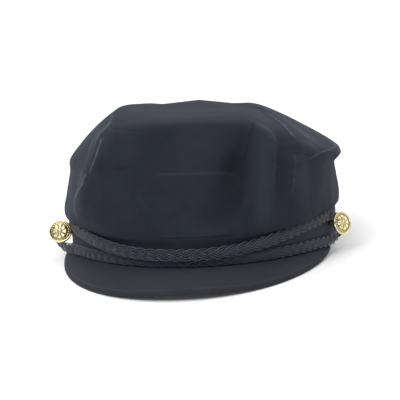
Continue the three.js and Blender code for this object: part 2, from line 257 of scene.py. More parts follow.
def cloth_material(name, deep, worn, masks=True):
    material, tree, shader = new_material(name, {
        "Roughness": 0.92, "Specular IOR Level": 0.06, "Sheen Weight": 0.1, "Sheen Roughness": 0.45,
        "Sheen Tint": (0.62, 0.66, 0.78, 1)})
    nap = nap_at(tree, 2200.0, 38.0)
    colour = ramp(tree, nap["Tone"], (0.3, deep), (0.72, worn))
    if masks:
        # Grooves and low places are painted darker as shade; pressed crests are painted paler, partly as
        # rubbed pile and partly as highlight.
        for mask, target in (("painted_shade", PAINTED_SHADE_NAVY), ("rubbed_and_highlight", RUBBED_AND_HIGHLIGHT_NAVY)):
            colour = mixed(tree, attribute(tree, mask), colour, (*target, 1))
    raised = add_node(tree, "ShaderNodeBump", {"Distance": 0.0002, "Strength": 0.6, "Height": nap["Height"]})
    feed(tree, shader.inputs["Base Color"], colour)
    feed(tree, shader.inputs["Normal"], raised.outputs["Normal"])
    return material


CROWN_CLOTH = cloth_material("brushed navy cloth", (0.0115, 0.0140, 0.0215), (0.0205, 0.0235, 0.0335))
# The band's cloth is painted about twice as light as the crown's, to lift it out of the shade under the
# crown's overhang.
BAND_CLOTH_PAINTED_LIGHTER = cloth_material("band cloth painted lighter", (0.023, 0.026, 0.036), (0.034, 0.038, 0.051), masks=False)
PEAK_CLOTH = cloth_material("peak cloth", (0.0205, 0.021, 0.027), (0.0295, 0.0305, 0.038))

# %% [markdown]
# The cords are thin and shinier than the cloth. Each is twisted from threads, so a fine slanted pattern
# winds round it. The pattern reads how far along and how far round the cord a place lies, two numbers
# that the plait's nodes store on the mesh.

# %% Cord material
TWIST_PITCH = 0.0011


def cord_material():
    material, tree, shader = new_material("navy cord", {
        "Roughness": 0.36, "Specular IOR Level": 0.5, "Sheen Weight": 0.08, "Sheen Roughness": 0.4})
    pitch = maths(tree, "MULTIPLY", attribute(tree, "cord_along"), 2 * math.pi / TWIST_PITCH)
    turn = maths(tree, "MULTIPLY_ADD", attribute(tree, "cord_around"), 4 * math.pi, pitch)
    wave = maths(tree, "SINE", turn)
    tone = add_node(tree, "ShaderNodeMapRange", {"From Min": -1, "Value": wave}).outputs["Result"]
    raised = add_node(tree, "ShaderNodeBump", {"Distance": 0.00006, "Height": tone})
    # The twist's grooves are painted darker than its crests, as shade between the threads.
    colour = ramp(tree, tone, (0, (0.008, 0.011, 0.020)), (1, (0.034, 0.043, 0.068)))
    feed(tree, shader.inputs["Base Color"], colour)
    feed(tree, shader.inputs["Normal"], raised.outputs["Normal"])
    return material


CORD = cord_material()
print("materials:", [m.name for m in bpy.data.materials])

# %% [markdown]
# The crown is the main form. The CAD model gives its outline in twelve directions: a low bulge over
# the band, the side, the bend and the rim of the top. Here the same table is read far more finely, so
# that folds a millimetre wide can be modelled in the mesh.

# %% Outline of the crown
COLUMNS = ("low", "low_at", "mid", "bend", "bend_at", "rim", "rim_at")
CROWN_OUTLINE = np.array([
    (1.05, -0.07, 1.01, 0.96, 0.76, 0.86, 0.89),
    (1.055, -0.06, 1.05, 0.98, 0.74, 0.79, 0.89),
    (1.045, 0, 1.05, 1.03, 0.58, 0.6, 0.88),
    (1.03, 0.06, 1.0, 1.0, 0.55, 0.49, 0.905),
    (1.03, 0.08, 1.02, 1.0, 0.52, 0.54, 0.875),
    (1.04, 0.08, 1.05, 1.0, 0.56, 0.66, 0.86),
    (1.04, 0.08, 1.04, 0.98, 0.58, 0.7, 0.85),
    (1.04, 0.08, 1.04, 0.98, 0.56, 0.66, 0.86),
    (1.04, 0.08, 1.01, 0.96, 0.54, 0.56, 0.9),
    (1.04, 0.06, 1.0, 0.95, 0.54, 0.55, 0.93),
    (1.045, 0, 1.0, 0.96, 0.6, 0.66, 0.93),
    (1.055, -0.06, 1.06, 1.0, 0.74, 0.78, 0.91),
])
MID_HEIGHT = 0.36
TOP_HEIGHT = 0.985


def smooth(before, start, end, after, t):
    bend = 2 * before - 5 * start + 4 * end - after
    twist = 3 * (start - end) + after - before
    return start + 0.5 * t * (end - before + t * (bend + t * twist))


def around(column, angle):
    values = CROWN_OUTLINE[:, COLUMNS.index(column)]
    at = np.asarray(angle, float) / 360 * len(values)
    step = np.floor(at).astype(int)
    pick = [values[(step + i) % len(values)] for i in (-1, 0, 1, 2)]
    return smooth(*pick, at - step)


def along(values, at):
    values = np.stack(np.broadcast_arrays(*values))
    step = np.minimum(np.floor(at).astype(int), len(values) - 2)
    column = np.arange(values.shape[1])
    pick = [values[np.clip(step + i, 0, len(values) - 1), column] for i in (-1, 0, 1, 2)]
    return smooth(*pick, at - step)


def crown_form(angle, level):
    angle, level = (np.asarray(v, float).ravel() for v in np.broadcast_arrays(angle, level))
    base = oval(angle, BAND_WALL, 0.0)
    hem = 1 + (GAP + CROWN_WALL) / np.linalg.norm(base, axis=1)
    rim, rim_at = around("rim", angle), around("rim_at", angle)
    one = np.ones_like(angle)
    shares = [hem, around("low", angle), around("mid", angle), around("bend", angle), rim, rim / 2, 0 * one]
    heights = [0 * one, around("low_at", angle), MID_HEIGHT * one, around("bend_at", angle), rim_at,
               (rim_at + TOP_HEIGHT) / 2, TOP_HEIGHT * one]
    at = level * (len(shares) - 1)
    points = base * along(shares, at)[:, None]
    points[:, 2] = HEM_HEIGHT + CROWN_HEIGHT * along(heights, at)
    return points


def crown_normal(angle, level):
    across = crown_form(angle + 1, level) - crown_form(angle - 1, level)
    up = crown_form(angle, np.minimum(level + 0.01, 1)) - crown_form(angle, np.minimum(level, 0.99))
    normal = np.cross(across, up)
    normal /= np.linalg.norm(normal, axis=1, keepdims=True) + 1e-9
    normal[level >= 0.985] = (0, 0, 1)
    return normal


# %% [markdown]
# Folds are what make cloth look like cloth. The broad ones are the CAD model's: soft ridges and
# valleys a centimetre wide. On top of them come the pressed creases of a cap that has lain folded: a
# crest or a groove with a sharp line. Each is a short path of places on the crown, an angle and a
# level, and the code turns the distance from that path into a lift of the cloth. It also paints crests
# paler, partly as rubbed pile and partly as a painted highlight, and grooves, valleys and the lowest
# rows darker, as painted shade.

# %% Folds of the crown
LEVEL_IN_DEGREES = 110
DEGREE = 1.57
# Painted marks: the width of a crest's paler line, partly rubbed pile and partly painted highlight, the width
# of painted shade in a groove, and how strongly crests, valleys and the hem are painted paler or darker.
RUBBED_HIGHLIGHT_WIDTH = 0.45
PAINTED_SHADE_WIDTH = 1.1
WORN_AND_LIT_CRESTS = 0.05
SHADED_VALLEYS = 0.42
SHADED_HEM = 0.55
BROAD = [
    # path, half width in degrees, rise as a share of the crown's height
    (((-44, 0.64), (-31, 0.5)), 5, 0.02),
    (((-31, 0.5), (-45, 0.24)), 5, 0.03),
    (((28, 0.5), (23, 0.38)), 5, -0.04),
    (((22, 0.36), (17, 0.24)), 7, -0.06),
    (((35, 0.52), (31, 0.2)), 5, 0.04),
    (((43, 0.5), (39, 0.3)), 4, -0.03),
    (((49, 0.42), (47, 0.26)), 5, 0.02),
    (((66, 0.68), (53, 0.5)), 5, 0.025),
    (((54, 0.47), (80, 0.5)), 5, 0.014),
    (((-34, 0.3), (-22, 0.24)), 6, -0.025),
    (((-6, 0.31), (8, 0.24)), 5, -0.025),
]
PRESSED = [
    # path, width in mm on its far side, width on its near side, rise in mm, how rubbed and highlighted, how
    # much painted shade.
    # The far side is at larger angles for a path that runs down, at higher levels for one that runs
    # sideways.
    (((-84, 0.735), (-62, 0.69), (-38, 0.635), (-31, 0.535), (-31.5, 0.47), (-35, 0.405)),
     9, 3.5, 1.3, 0.6, 0),
    (((-28.5, 0.50), (-29, 0.48), (-31, 0.435), (-33.5, 0.40), (-36, 0.37)), 8, 2.4, 0.8, 0.5, 0),
    (((-36.5, 0.38), (-38.5, 0.355), (-40.5, 0.32), (-46, 0.28), (-48, 0.245), (-48, 0.19)),
     9, 4, 1.2, 0.65, 0),
    (((-13.5, 0.375), (1.5, 0.371), (18, 0.37), (20, 0.368)), 1.0, 0.5, 0.1, 0.07, 0),
    (((-25, 0.393), (-21, 0.39), (-17.5, 0.392)), 0.8, 1.4, -0.3, 0, 0.45),
    (((20, 0.366), (24, 0.366)), 0.6, 0.6, 0.12, 0.09, 0),
    (((37.5, 0.381), (41, 0.38)), 0.6, 0.9, 0.2, 0.16, 0),
    (((34, 0.595), (31, 0.525), (28.5, 0.455), (26.3, 0.39), (25, 0.33)), 2.6, 5, -1.5, 0, 0.6),
    (((27.5, 0.43), (25.7, 0.37), (24.6, 0.315), (23.3, 0.265), (19.5, 0.225)), 3.2, 9, -2.4, 0, 0.6),
    (((33, 0.49), (31, 0.40), (30, 0.31), (27.5, 0.22), (20, 0.14)), 10, 6, 1.0, 0.03, 0),
    (((43, 0.50), (40, 0.43), (39, 0.36), (38, 0.27)), 4.5, 6, -1.3, 0, 0.12),
    (((46, 0.44), (45.5, 0.36), (43.5, 0.27)), 7, 4.5, 1.5, 0.13, 0),
    (((55, 0.66), (55, 0.635), (52.5, 0.595), (50.5, 0.555), (50, 0.505)), 6, 7, 1.0, 0.6, 0),
    (((52, 0.415), (56.5, 0.445), (61, 0.465), (77, 0.482), (94, 0.487)), 4, 6, 0.6, 0.4, 0),
    (((70, 0.425), (85, 0.43), (102, 0.43)), 6, 9, 1.7, 0, 0),
    (((-28, 0.556), (-21, 0.546), (-14, 0.54)), 2.0, 1.2, -0.35, 0, 0.25),
    (((-15, 0.31), (-10, 0.262)), 6, 6, 0.8, 0.05, 0),
    (((-7, 0.232), (0, 0.255), (6, 0.285)), 6, 6, -0.9, 0, 0.2),
    # The seam at the back is a groove painted dark as shade.
    (((180, 0.0), (180, 0.3), (180, 0.6), (180, 0.9)), 1.3, 1.3, -0.8, 0, 0.6),
]


def path_distance(angle, level, path):
    """Distance in degrees from a smoothed path, below zero on its near side, and the share along it."""
    knots = np.array(path, float)
    knots[:, 1] *= LEVEL_IN_DEGREES
    if len(knots) > 2:
        fine = np.linspace(0, len(knots) - 1, 8 * len(knots))
        knots = np.stack([along([np.full(len(fine), v) for v in knots[:, i]], fine) for i in (0, 1)], -1)
    turned = (angle - path[0][0] + 540) % 360 - 180 + path[0][0]
    here = np.stack([turned, level * LEVEL_IN_DEGREES], -1)
    best = np.full(len(here), 1e9)
    share = np.zeros(len(here))
    side = np.ones(len(here))
    for i in range(len(knots) - 1):
        start, run = knots[i], knots[i + 1] - knots[i]
        t = np.clip((here - start) @ run / (run @ run), 0, 1)
        off = here - start - t[:, None] * run
        away = np.linalg.norm(off, axis=1)
        nearer = away < best
        best[nearer] = away[nearer]
        share[nearer] = ((i + t) / (len(knots) - 1))[nearer]
        side[nearer] = np.sign(run[0] * off[:, 1] - run[1] * off[:, 0] + 1e-12)[nearer]
    return best * side, share


def crown_surface(angle, level):
    angle, level = (np.asarray(v, float).ravel() for v in np.broadcast_arrays(angle, level))
    rubbed_and_highlight, painted_shade, lift = (np.zeros(len(angle)) for _ in range(3))
    for path, half_width, rise in BROAD:
        away, _ = path_distance(angle, level, path)
        lift += CROWN_HEIGHT * rise * np.exp(-((away / half_width) ** 2))
    lift *= smoothstep(level, 0.1, 0.3) * (1 - smoothstep(level, 0.62, 0.8))
    for path, far_width, near_width, rise, rub_and_highlight, dark in PRESSED:
        away, share = path_distance(angle, level, path)
        away = away * DEGREE
        reach = np.abs(away) / np.where(away > 0, far_width, near_width)
        taper = smoothstep(share, 0, 0.22) * (1 - smoothstep(share, 0.72, 1))
        lift += rise * taper * np.exp(-np.sqrt(reach ** 2 + 0.004) + 0.06)
        broken = 0.8 + 0.2 * np.sin(29 * share + 9 * rise)
        # A crest's pale line is partly rubbed pile and partly painted highlight; a groove's dark is painted
        # shade.
        rubbed_and_highlight = np.maximum(rubbed_and_highlight, rub_and_highlight * taper * broken * np.exp(-((away / RUBBED_HIGHLIGHT_WIDTH) ** 2)))
        painted_shade = np.maximum(painted_shade, dark * taper * np.exp(-((np.abs(away) / PAINTED_SHADE_WIDTH) ** 1.3)))
    # Raised crests are painted paler, as wear and highlight; sunken valleys and the lowest rows, under the
    # crown's bulge, are painted darker as shade.
    rubbed_and_highlight = np.maximum(rubbed_and_highlight, WORN_AND_LIT_CRESTS * smoothstep(lift, 0.6, 3.2))
    painted_shade = np.maximum(painted_shade, SHADED_VALLEYS * smoothstep(-lift, 1.0, 5.0))
    painted_shade = np.maximum(painted_shade, SHADED_HEM * (1 - smoothstep(level, 0.02, 0.17)))
    form, normal = crown_form(angle, level), crown_normal(angle, level)
    return form, normal, lift, rubbed_and_highlight, painted_shade


def wander(points, size, seed, waves=14):
    """A smooth random unevenness of about plus or minus one, with waves about this size in mm."""
    draw = np.random.default_rng(seed)
    total = np.zeros(len(points))
    for _ in range(waves):
        direction = draw.normal(size=3)
        direction *= 2 * math.pi / (size * draw.uniform(0.6, 1.6) * np.linalg.norm(direction))
        total += np.sin(points @ direction + draw.uniform(0, 2 * math.pi))
    return total / math.sqrt(waves / 2) / 1.6


# %% [markdown]
# The mesh has more columns in front, where the folds are, than at the back. The inside follows the
# folds one cloth's thickness further in, with fewer rows, and the hem closes the two.

# %% Crown mesh
CROWN_COLUMNS = 440
CROWN_ROWS = 160
INSIDE_ROWS = 40


def crown_piece():
    turn = np.linspace(-180, 180, CROWN_COLUMNS, endpoint=False)
    angles = turn - 0.45 * np.degrees(np.sin(np.radians(turn)))
    levels = np.linspace(0, 1, CROWN_ROWS)[:-1]
    grid_angle, grid_level = (g.ravel() for g in np.meshgrid(angles, levels))
    form, normal, lift, rubbed_and_highlight, painted_shade = crown_surface(grid_angle, grid_level)
    loose = smoothstep(grid_level, 0.03, 0.2)
    calm = 1 - 0.75 * smoothstep(grid_level, 0.45, 0.7)
    lift += loose * calm * (0.4 * wander(form, 38, 3) + 0.1 * wander(form, 14, 5) + 0.03 * wander(form, 5, 8))
    outer = (form + normal * lift[:, None]).reshape(len(levels), CROWN_COLUMNS, 3)
    inner_levels = np.linspace(0, 1, INSIDE_ROWS)[1:-1]
    inner_angle, inner_level = (g.ravel() for g in np.meshgrid(angles, inner_levels))
    in_form, in_normal, in_lift, _, _ = crown_surface(inner_angle, inner_level)
    inner = (in_form + in_normal * (in_lift - CROWN_WALL)[:, None]).reshape(-1, CROWN_COLUMNS, 3)
    top = crown_form(0, 1)[0]
    hem_mid = oval(angles, BAND_WALL + GAP + CROWN_WALL / 2, HEM_HEIGHT - 0.35)
    hem = oval(angles, BAND_WALL + GAP, HEM_HEIGHT)
    rings = [top, *outer[::-1], hem_mid, hem, *inner, top - (0, 0, CROWN_WALL)]
    rest = 2 * CROWN_COLUMNS + inner.shape[0] * CROWN_COLUMNS + 1
    # The masks hold the painted highlight and wear on crests and the painted shade; the inside and the hem
    # get none.
    masks = {}
    for mask, values in (("rubbed_and_highlight", rubbed_and_highlight), ("painted_shade", painted_shade)):
        rows = values.reshape(len(levels), CROWN_COLUMNS)[::-1].ravel()
        masks[mask] = np.concatenate([[0], rows, np.zeros(rest)])
    return skin("crown_cloth", rings, CROWN_CLOTH, masks)


crown = crown_piece()

# %% [markdown]
# The band is an upright ring of doubled cloth. Its edges are turned in, so they are round, and a welt
# runs above the join with the peak. Where it rests, the cloth is pressed flat against the table.

# %% Band
WELT_HEIGHT = 8.6
WELT_RISE = 0.35


def settle(points):
    lowest = surface_height(points[..., 1]) + REST_GIVE
    points[..., 2] = np.maximum(points[..., 2], lowest)
    return points


def band_piece():
    round_off = BAND_WALL / 2
    turn = np.radians(np.linspace(-90, 90, 7))
    section = []
    for height in np.linspace(round_off, BAND_HEIGHT - round_off, 60):
        welt = WELT_RISE * math.exp(-(((height - WELT_HEIGHT) / 0.7) ** 2))
        section.append((BAND_WALL + welt, height))
    section += [(round_off + round_off * math.cos(t), BAND_HEIGHT - round_off + round_off * math.sin(t))
                for t in np.radians(np.linspace(15, 165, 7))]
    section += [(0, height) for height in np.linspace(BAND_HEIGHT - round_off, round_off, 14)]
    section += [(round_off + round_off * math.cos(t), round_off + round_off * math.sin(t))
                for t in np.radians(np.linspace(195, 345, 7))]
    angles = np.linspace(0, 360, 288, endpoint=False)
    rings = []
    for out, height in section:
        ring = oval(angles, out, height)
        ring += outward(angles) * (0.12 * wander(ring, 22, 11))[:, None] * (1 if out > 0 else 0)
        rings.append(settle(ring))
    return skin("band_cloth", rings, BAND_CLOTH_PAINTED_LIGHTER, looped=True)


band = band_piece()

# %% [markdown]
# The peak is a stiffened crescent covered with the same cloth. It is swept as one section round the
# front of the cap: the top side, a rounded edge, and the underside, which lies flat where the cap
# rests. Its edge is bowed up a little in the middle.

# %% Peak
PEAK = {"centre": -8, "half_span": 79, "tip_reach": 2.5, "fullness": 0.63, "tip_rise": 2.4,
        "arch": 1.6, "bow": 3.9, "bow_centre": 4, "bow_width": 27}


def peak_share(angle):
    end = math.cos(math.radians(PEAK["half_span"]))
    here = np.cos(np.radians(angle - PEAK["centre"]))
    return np.maximum(0, (here - end) / (1 - end)) ** PEAK["fullness"]


def peak_edge(angle):
    share = peak_share(angle)
    point = oval(angle, BAND_WALL, 0.0) + outward(angle) * (PEAK["tip_reach"] * (1 - share))[:, None]
    point[:, 1] -= PEAK_REACH * share
    bow = PEAK["bow"] * np.exp(-(((angle - PEAK["bow_centre"]) / PEAK["bow_width"]) ** 2))
    point[:, 2] = surface_height(point[:, 1]) + bow + PEAK["tip_rise"] * (1 - share) ** 2
    return point


def peak_piece():
    angles = PEAK["centre"] + PEAK["half_span"] * np.sin(np.linspace(-math.pi / 2, math.pi / 2, 220))
    share = peak_share(angles)[:, None]
    join = oval(angles, BAND_WALL + GAP, GAP)
    edge = peak_edge(angles)
    run = np.linalg.norm((edge - join)[:, :2], axis=1)[:, None]
    out = np.concatenate([(edge - join)[:, :2] / run, np.zeros((len(angles), 1))], 1)
    half = PEAK_THICKNESS / 2
    last = 1 - half / run
    up = np.array([0, 0, 1.0])

    def middle_line(row):
        point = join + (edge - join) * row
        point[:, 2:] += PEAK["arch"] * share * 4 * row * (1 - row) + PEAK_THICKNESS * row - half
        return point

    rows = np.linspace(0, 1, 34)
    lines = [middle_line(row * last) + half * up for row in rows]
    centre = middle_line(last)
    edge_turns = np.radians(np.arange(75, -90, -15))
    lines += [centre + half * (out * math.cos(t) + up * math.sin(t)) for t in edge_turns]
    lines += [middle_line(row * last) - half * up for row in rows[::-1]]
    lines = [settle(line) for line in lines]
    stack = np.stack(lines, 1)
    middle = stack.mean(1)
    rings = [middle[0], *stack, middle[-1]]
    # The top side is painted darker towards the join, as shade under the crown.
    shade = 0.5 * (1 - smoothstep(rows, 0.05, 0.8))
    section = np.concatenate([shade, np.zeros(stack.shape[1] - len(rows))])
    painted_shade = np.concatenate([[0], np.tile(section, len(stack)), [0]])
    return skin("peak_cloth", rings, PEAK_CLOTH, {"painted_shade": painted_shade, "rubbed_and_highlight": 0 * painted_shade})


peak = peak_piece()

# %% [markdown]
# Each braid is a flat plait of three strands, and each strand is three fine cords side by side. A
# strand swings from edge to edge once in three loops and goes over and under twice as often. That rule
# is all there is to a plait, so Geometry Nodes make it: nine copies of the braid's middle line, each
# moved by its own place in the rule and given a round section.

# %% Geometry Nodes helpers
CORD_SIDES = 7


def geometry_tree(name, inputs):
    tree = bpy.data.node_groups.new(name, "GeometryNodeTree")
    tree.is_modifier = True
    tree.interface.new_socket(name="Geometry", in_out="INPUT", socket_type="NodeSocketGeometry")
    keys = {}
    for socket, kind in inputs:
        item = tree.interface.new_socket(name=socket, in_out="INPUT", socket_type=f"NodeSocket{kind}")
        keys[socket] = item.identifier
    tree.interface.new_socket(name="Geometry", in_out="OUTPUT", socket_type="NodeSocketGeometry")
    return tree, keys, tree.nodes.new("NodeGroupInput"), tree.nodes.new("NodeGroupOutput")


def vector(tree, operation, first, second=None, scale=None):
    inputs = {0: first, 1: second, 3: scale}
    return add_node(tree, "ShaderNodeVectorMath", inputs, operation=operation).outputs[0]


def curve_of(tree, start, spacing=None):
    """The incoming edges as a curve, with evenly spaced points where a spacing is given."""
    line = add_node(tree, "GeometryNodeMeshToCurve", {"Mesh": start.outputs["Geometry"]}).outputs["Curve"]
    if spacing is None:
        return line
    inputs = {"Curve": line, "Length": spacing}
    return add_node(tree, "GeometryNodeResampleCurve", inputs, mode="LENGTH").outputs["Curve"]


def round_section(tree, radius):
    ring = add_node(tree, "GeometryNodeCurvePrimitiveCircle", {"Resolution": CORD_SIDES, "Radius": radius})
    return ring.outputs["Curve"]


def swept(tree, curve, section):
    inputs = {"Fill Caps": True, "Curve": curve, "Profile Curve": section}
    return add_node(tree, "GeometryNodeCurveToMesh", inputs).outputs["Mesh"]


def stored(tree, geometry, name, value):
    """The geometry with one more named number on its points."""
    inputs = {"Name": name, "Geometry": geometry, "Value": value}
    return add_node(tree, "GeometryNodeStoreNamedAttribute", inputs).outputs["Geometry"]


def finish_tree(tree, geometry, start, end):
    """Ends a tree: smooth shading, instances made real, and the material from the tree's own input."""
    soft = add_node(tree, "GeometryNodeSetShadeSmooth", {"Geometry": geometry}).outputs["Geometry"]
    real = add_node(tree, "GeometryNodeRealizeInstances", {"Geometry": soft}).outputs["Geometry"]
    inputs = {"Geometry": real, "Material": start.outputs["Material"]}
    finish = add_node(tree, "GeometryNodeSetMaterial", inputs)
    tree.links.new(finish.outputs["Geometry"], end.inputs["Geometry"])


def apply_nodes(piece, tree, keys, values):
    modifier = piece.modifiers.new(tree.name, "NODES")
    modifier.node_group = tree
    for socket, value in values.items():
        modifier[keys[socket]] = value
    graph = bpy.context.evaluated_depsgraph_get()
    mesh = bpy.data.meshes.new_from_object(
        piece.evaluated_get(graph), preserve_all_data_layers=True, depsgraph=graph)
    piece.modifiers.clear()
    piece.data = mesh
    print(piece.name, "faces", len(mesh.polygons))
    return piece


# %% Plait tree
STRANDS = 3
CORDS_IN_STRAND = 3
STEPS_PER_PLAIT = 30
OUTER_CORDS_SINK = 0.35


def plait_tree():
    tree, keys, start, end = geometry_tree("plait of fine cords", [
        ("Plait length", "Float"), ("Swing", "Float"), ("Lift", "Float"), ("Cord radius", "Float"),
        ("Cord spacing", "Float"), ("Material", "Material")])
    spacing = maths(tree, "DIVIDE", start.outputs["Plait length"], STEPS_PER_PLAIT)
    copies = add_node(tree, "GeometryNodeDuplicateElements", {
        "Amount": STRANDS * CORDS_IN_STRAND, "Geometry": curve_of(tree, start, spacing)}, domain="SPLINE")
    number = copies.outputs["Duplicate Index"]
    strand = maths(tree, "FLOOR", maths(tree, "DIVIDE", number, CORDS_IN_STRAND))
    cord = maths(tree, "SUBTRACT", maths(tree, "MODULO", number, CORDS_IN_STRAND), 1.0)
    way = tree.nodes.new("GeometryNodeSplineParameter")
    rate = maths(tree, "DIVIDE", 2 * math.pi, start.outputs["Plait length"])
    offset = maths(tree, "MULTIPLY", strand, 2 * math.pi / STRANDS)
    phase = maths(tree, "MULTIPLY_ADD", way.outputs["Length"], rate, offset)
    grip = add_node(tree, "GeometryNodeInputNamedAttribute", {"Name": "braid_grip"})
    held = grip.outputs["Attribute"]
    swing = maths(tree, "MULTIPLY", start.outputs["Swing"], held)
    spacing = maths(tree, "MULTIPLY", start.outputs["Cord spacing"], held)
    sideways = maths(tree, "MULTIPLY", maths(tree, "SINE", phase), swing)
    slope = maths(tree, "MULTIPLY", maths(tree, "MULTIPLY", maths(tree, "COSINE", phase), swing), rate)
    length = maths(tree, "SQRT", maths(tree, "MULTIPLY_ADD", slope, slope, 1.0))
    spread = maths(tree, "DIVIDE", maths(tree, "MULTIPLY", cord, spacing), length)
    across = maths(tree, "ADD", sideways, spread)
    forward = maths(tree, "MULTIPLY", maths(tree, "MULTIPLY", spread, slope), -1.0)
    weave = maths(tree, "SINE", maths(tree, "MULTIPLY", phase, 2.0))
    over = maths(tree, "MULTIPLY", weave, start.outputs["Lift"])
    sunk = maths(tree, "MULTIPLY", start.outputs["Cord radius"], -OUTER_CORDS_SINK)
    crowned = maths(tree, "MULTIPLY_ADD", maths(tree, "ABSOLUTE", cord), sunk, over)
    axes = [add_node(tree, "GeometryNodeInputNamedAttribute", {"Name": name},
                     data_type="FLOAT_VECTOR").outputs["Attribute"] for name in ("braid_across", "braid_out")]
    ahead = tree.nodes.new("GeometryNodeInputTangent").outputs["Tangent"]
    raised = vector(tree, "SCALE", axes[1], scale=crowned)
    pushed = vector(tree, "SCALE", ahead, scale=forward)
    swung = vector(tree, "SCALE", axes[0], scale=across)
    move = vector(tree, "ADD", swung, vector(tree, "ADD", raised, pushed))
    inputs = {"Geometry": copies.outputs["Geometry"], "Offset": move}
    moved = add_node(tree, "GeometryNodeSetPosition", inputs)
    cords = stored(tree, moved.outputs["Geometry"], "cord_along", way.outputs["Length"])
    round_share = tree.nodes.new("GeometryNodeSplineParameter").outputs["Factor"]
    section = stored(tree, round_section(tree, start.outputs["Cord radius"]), "cord_around", round_share)
    finish_tree(tree, swept(tree, cords, section), start, end)
    return tree, keys


PLAIT, PLAIT_KEYS = plait_tree()


# %% [markdown]
# Thread ends up on the cap in two ways: wound round the ends of the braids, and sewn in rows. A wound
# thread is one round section along a line. A stitch is a small long bead, laid again and again along
# a line at an even pitch and turned to follow it.

# %% Thread and stitch trees
def thread_tree():
    tree, keys, start, end = geometry_tree("round thread", [("Radius", "Float"), ("Material", "Material")])
    section = round_section(tree, start.outputs["Radius"])
    finish_tree(tree, swept(tree, curve_of(tree, start), section), start, end)
    return tree, keys


def stitch_tree():
    tree, keys, start, end = geometry_tree("row of stitches", [
        ("Pitch", "Float"), ("Stitch length", "Float"), ("Thread radius", "Float"), ("Material", "Material")])
    bead = add_node(tree, "GeometryNodeMeshUVSphere", {"Segments": 7, "Rings": 5, "Radius": 1.0})
    ahead = tree.nodes.new("GeometryNodeInputTangent").outputs["Tangent"]
    aim = add_node(tree, "FunctionNodeAlignRotationToVector", {"Vector": ahead})
    radius = start.outputs["Thread radius"]
    half = maths(tree, "MULTIPLY", start.outputs["Stitch length"], 0.5)
    size = add_node(tree, "ShaderNodeCombineXYZ", {"X": radius, "Y": radius, "Z": half})
    rows = add_node(tree, "GeometryNodeInstanceOnPoints", {
        "Points": curve_of(tree, start, start.outputs["Pitch"]), "Instance": bead.outputs["Mesh"],
        "Rotation": aim.outputs["Rotation"], "Scale": size.outputs["Vector"]})
    finish_tree(tree, rows.outputs["Instances"], start, end)
    return tree, keys


THREAD, THREAD_KEYS = thread_tree()
STITCH, STITCH_KEYS = stitch_tree()


def join_to(piece, other):
    """Makes another piece's mesh part of this one, with its own material."""
    material = next(slot for slot in other.data.materials if slot)
    if material.name not in piece.data.materials:
        piece.data.materials.append(material)
    index = piece.data.materials.find(material.name)
    both = bmesh.new()
    both.from_mesh(piece.data)
    own_faces = len(both.faces)
    both.from_mesh(other.data)
    both.faces.ensure_lookup_table()
    for face in both.faces[own_faces:]:
        face.material_index = index
    both.to_mesh(piece.data)
    both.free()
    bpy.data.objects.remove(other)


def line_piece(name, points):
    """A row of joined points, in metres, for a node tree to work on."""
    mesh = bpy.data.meshes.new(name)
    mesh.from_pydata(points.tolist(), [(i, i + 1) for i in range(len(points) - 1)], [])
    piece = bpy.data.objects.new(name, mesh)
    bpy.context.scene.collection.objects.link(piece)
    return piece


def add_thread(piece, line_points, radius):
    """Adds one round thread along a line of points, in metres, to a piece."""
    thread = line_piece("thread", line_points)
    apply_nodes(thread, THREAD, THREAD_KEYS, {"Radius": radius * MM, "Material": CORD})
    join_to(piece, thread)


def add_stitches(piece, level_points, pitch=2.3, length=1.7, radius=0.2):
    """Adds a row of stitches along points of the level frame, in millimetres, to a piece."""
    row = line_piece("stitches", place(level_points))
    apply_nodes(row, STITCH, STITCH_KEYS, {
        "Pitch": pitch * MM, "Stitch length": length * MM, "Thread radius": radius * MM, "Material": CORD})
    join_to(piece, row)


# %% [markdown]
# Rows of stitches run where such a cap is sewn: round the peak near its edge, round the back of the
# band near its lower edge, and down both sides of the crown's seam at the back. The seams at the back
# are not in the photograph, so they are kept plain.

# %% Stitches
PEAK_INSET = 2.6
BAND_ROW_HEIGHT = 4.2
SEAM_SIDES = (178.4, 181.6)


def peak_top_line(inset, angles):
    """A line on the peak's top side, this far in from its edge."""
    share = peak_share(angles)[:, None]
    join = oval(angles, BAND_WALL + GAP, GAP)
    edge = peak_edge(angles)
    row = 1 - inset / np.linalg.norm((edge - join)[:, :2], axis=1)[:, None]
    point = join + (edge - join) * row
    point[:, 2:] += PEAK["arch"] * share * 4 * row * (1 - row) + PEAK_THICKNESS * row
    return point


def seam_line(angle, levels):
    form, normal, lift, _, _ = crown_surface(np.full(len(levels), float(angle)), levels)
    return form + normal * (lift + 0.1)[:, None]


add_stitches(peak, peak_top_line(PEAK_INSET, np.linspace(-74, 58, 300)))
back_of_band = np.linspace(98, 270, 300)
add_stitches(band, oval(back_of_band, BAND_WALL + 0.08, BAND_ROW_HEIGHT))
for side_angle in SEAM_SIDES:
    add_stitches(crown, seam_line(side_angle, np.linspace(0.03, 0.72, 120)))

# %% [markdown]
# Both braids run from button to button. The lower one lies along the join of the peak, and the upper
# one hangs in a curve in front of it and climbs to the buttons. Their middle lines are the CAD
# model's, carried on a little to reach the shanks that hold their ends.

